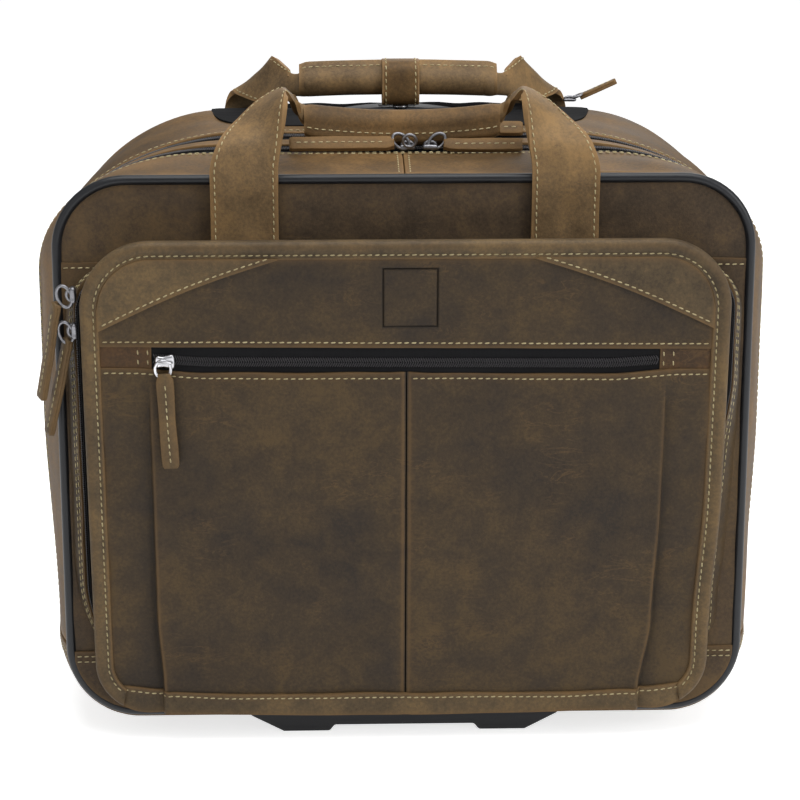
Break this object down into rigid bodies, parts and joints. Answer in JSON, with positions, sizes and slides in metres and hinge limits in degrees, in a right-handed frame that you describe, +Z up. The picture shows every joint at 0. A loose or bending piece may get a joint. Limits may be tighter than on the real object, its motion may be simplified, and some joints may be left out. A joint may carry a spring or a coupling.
{
  "type": "rolling laptop case",
  "caption": "Leather trolley briefcase with zipped compartments, a front organizer pocket, carry handles, a telescopic handle, wheels and a front stand.",
  "frame": {"origin": "middle of the footprint on the floor, under the centre of the bounding box", "axes": "+Z up, +Y towards the back, +X across to the right seen from the front"},
  "size_m": [0.4554, 0.2536, 0.406],
  "materials": {
    "leather": "distressed waxed brown leather, matte with worn lighter edges",
    "leather_dark": "smooth dark brown leather tabs",
    "thread": "cream waxed thread",
    "piping_black": "smooth black satin piping",
    "zip_black": "black woven zip tape with nylon coil",
    "nylon_black": "matte black woven nylon",
    "lining": "dark woven lining",
    "board": "stiff base board in dark cloth",
    "plastic_black": "grained black moulded plastic",
    "aluminium": "drawn anodised tube",
    "steel": "turned steel",
    "gunmetal": "polished gunmetal plating",
    "chrome": "bright nickel plating",
    "tyre": "solid rubber tread"
  },
  "bodies": {
    "case": {"rear_panel": "leather", "rear_gusset_left": "leather", "rear_gusset_right": "leather", "rear_zip_tape": "zip_black", "bottom_tray": "leather", "base_board": "board", "laptop_sleeve": "lining", "handle_garage": "nylon_black", "tube_base": "plastic_black", "outer_tubes": "aluminium", "tube_collar": "plastic_black", "wheel_housings": "plastic_black", "wheel_axles": "steel", "axle_bushes": "plastic_black", "front_stand": "plastic_black", "rear_strap_anchors": "leather"},
    "divider_section": {"divider_gusset_left": "leather", "divider_gusset_right": "leather", "divider_zip_tapes": "zip_black", "divider_panel": "lining"},
    "front_section": {"front_panel": "leather", "front_piping": "piping_black", "front_gusset_left": "leather", "front_gusset_right": "leather", "front_zip_tape": "zip_black", "organizer_gusset": "leather", "organizer_zip_tape": "zip_black", "organizer_pockets": "lining", "front_strap_anchors": "leather"},
    "organizer_flap": {"flap_panel": "leather", "flap_binding": "leather", "pocket_zip": "zip_black"},
    "pocket_slider": {"pocket_slider": "chrome"},
    "pocket_pull": {"pocket_pull": "leather"},
    "organizer_slider_upper": {"organizer_slider_upper": "gunmetal"},
    "organizer_slider_lower": {"organizer_slider_lower": "gunmetal"},
    "organizer_pull_upper": {"organizer_pull_upper": "leather"},
    "organizer_pull_lower": {"organizer_pull_lower": "leather"},
    "front_handle": {"front_handle_straps": "leather", "front_handle_grip": "leather"},
    "rear_handle": {"rear_handle_straps": "leather", "rear_handle_grip": "leather"},
    "handle_wrap": {"handle_wrap": "leather", "wrap_snap": "chrome"},
    "top_slider_left": {"top_slider_left": "gunmetal"},
    "top_slider_right": {"top_slider_right": "gunmetal"},
    "top_pull_left": {"top_pull_left": "leather"},
    "top_pull_right": {"top_pull_right": "leather"},
    "rear_zip_slider": {"rear_zip_slider": "gunmetal"},
    "rear_zip_pull": {"rear_zip_pull": "leather"},
    "garage_slider": {"garage_slider": "gunmetal"},
    "garage_pull": {"garage_pull": "leather"},
    "trolley_middle": {"middle_tubes": "aluminium"},
    "trolley_inner": {"inner_tubes": "aluminium", "trolley_grip": "plastic_black"},
    "release_button": {"release_button": "plastic_black"},
    "wheel_left": {"wheel_hub_left": "plastic_black", "wheel_tyre_left": "tyre"},
    "wheel_right": {"wheel_hub_right": "plastic_black", "wheel_tyre_right": "tyre"}
  },
  "joints": [
    {"name": "divider_fold", "type": "hinge", "parent": "case", "child": "divider_section", "pos_m": [0, -0.084, 0.015], "axis": [1, 0, 0], "range_deg": [0, 10]},
    {"name": "front_fold", "type": "hinge", "parent": "divider_section", "child": "front_section", "pos_m": [0, -0.084, 0.015], "axis": [1, 0, 0], "range_deg": [0, 30]},
    {"name": "flap_fold", "type": "hinge", "parent": "front_section", "child": "organizer_flap", "pos_m": [0, -0.092, 0.0175], "axis": [1, 0, 0], "range_deg": [0, 40]},
    {"name": "pocket_slider_run", "type": "slide", "parent": "organizer_flap", "child": "pocket_slider", "axis": [1, 0, 0], "range_m": [0, 0.284]},
    {"name": "pocket_pull_swing", "type": "hinge", "parent": "pocket_slider", "child": "pocket_pull", "pos_m": [-0.142, -0.12043, 0.24127], "axis": [-1, 0, 0], "range_deg": [0, 120]},
    {"name": "organizer_slider_upper_run", "type": "slide", "parent": "front_section", "child": "organizer_slider_upper", "axis": [0, -0.0663, 0.9978], "range_m": [0, 0.008]},
    {"name": "organizer_slider_lower_run", "type": "slide", "parent": "front_section", "child": "organizer_slider_lower", "axis": [0, -0.0663, 0.9978], "range_m": [-0.185, 0]},
    {"name": "organizer_pull_upper_swing", "type": "hinge", "parent": "organizer_slider_upper", "child": "organizer_pull_upper", "pos_m": [-0.203, -0.112, 0.286], "axis": [-1, 0, 0], "range_deg": [0, 90]},
    {"name": "organizer_pull_lower_swing", "type": "hinge", "parent": "organizer_slider_lower", "child": "organizer_pull_lower", "pos_m": [-0.199, -0.1106, 0.264], "axis": [-1, 0, 0], "range_deg": [0, 90]},
    {"name": "front_handle_swing", "type": "hinge", "parent": "front_section", "child": "front_handle", "pos_m": [0, -0.0926, 0.3595], "axis": [1, 0, 0], "range_deg": [0, 150]},
    {"name": "rear_handle_swing", "type": "hinge", "parent": "case", "child": "rear_handle", "pos_m": [0, 0.121, 0.362], "axis": [-1, 0, 0], "range_deg": [0, 120]},
    {"name": "wrap_turn", "type": "hinge", "parent": "rear_handle", "child": "handle_wrap", "pos_m": [0.0015, 0.064, 0.391], "axis": [1, 0, 0], "range_deg": [-40, 40]},
    {"name": "top_slider_left_run", "type": "slide", "parent": "front_section", "child": "top_slider_left", "axis": [-1, 0, 0], "range_m": [0, 0.09]},
    {"name": "top_slider_right_run", "type": "slide", "parent": "front_section", "child": "top_slider_right", "axis": [1, 0, 0], "range_m": [0, 0.085]},
    {"name": "top_pull_left_lift", "type": "hinge", "parent": "top_slider_left", "child": "top_pull_left", "pos_m": [-0.005, -0.035, 0.3646], "axis": [0, 1, 0], "range_deg": [0, 7]},
    {"name": "top_pull_right_lift", "type": "hinge", "parent": "top_slider_right", "child": "top_pull_right", "pos_m": [0.025, -0.035, 0.3646], "axis": [0, -1, 0], "range_deg": [0, 12]},
    {"name": "rear_zip_slider_run", "type": "slide", "parent": "divider_section", "child": "rear_zip_slider", "axis": [1, 0, 0], "range_m": [0, 0.085]},
    {"name": "rear_zip_pull_lift", "type": "hinge", "parent": "rear_zip_slider", "child": "rear_zip_pull", "pos_m": [0.031, -0.003, 0.3688], "axis": [0, -1, 0], "range_deg": [0, 45]},
    {"name": "garage_slider_run", "type": "slide", "parent": "case", "child": "garage_slider", "axis": [-1, 0, 0], "range_m": [0, 0.01]},
    {"name": "garage_pull_lift", "type": "hinge", "parent": "garage_slider", "child": "garage_pull", "pos_m": [0.1236, 0.1143, 0.3734], "axis": [0, -1, 0], "range_deg": [-8, 60]},
    {"name": "trolley_middle_slide", "type": "slide", "parent": "case", "child": "trolley_middle", "axis": [0, 0, 1], "range_m": [0, 0.275]},
    {"name": "trolley_inner_slide", "type": "slide", "parent": "trolley_middle", "child": "trolley_inner", "axis": [0, 0, 1], "range_m": [0, 0.275]},
    {"name": "release_press", "type": "slide", "parent": "trolley_inner", "child": "release_button", "axis": [0, 0, -1], "range_m": [0, 0.004], "stiffness_N_per_m": 500, "springref_m": -0.002},
    {"name": "wheel_left_spin", "type": "hinge", "parent": "case", "child": "wheel_left", "pos_m": [-0.152, 0.1, 0.027], "axis": [1, 0, 0], "continuous": true},
    {"name": "wheel_right_spin", "type": "hinge", "parent": "case", "child": "wheel_right", "pos_m": [0.152, 0.1, 0.027], "axis": [1, 0, 0], "continuous": true}
  ]
}
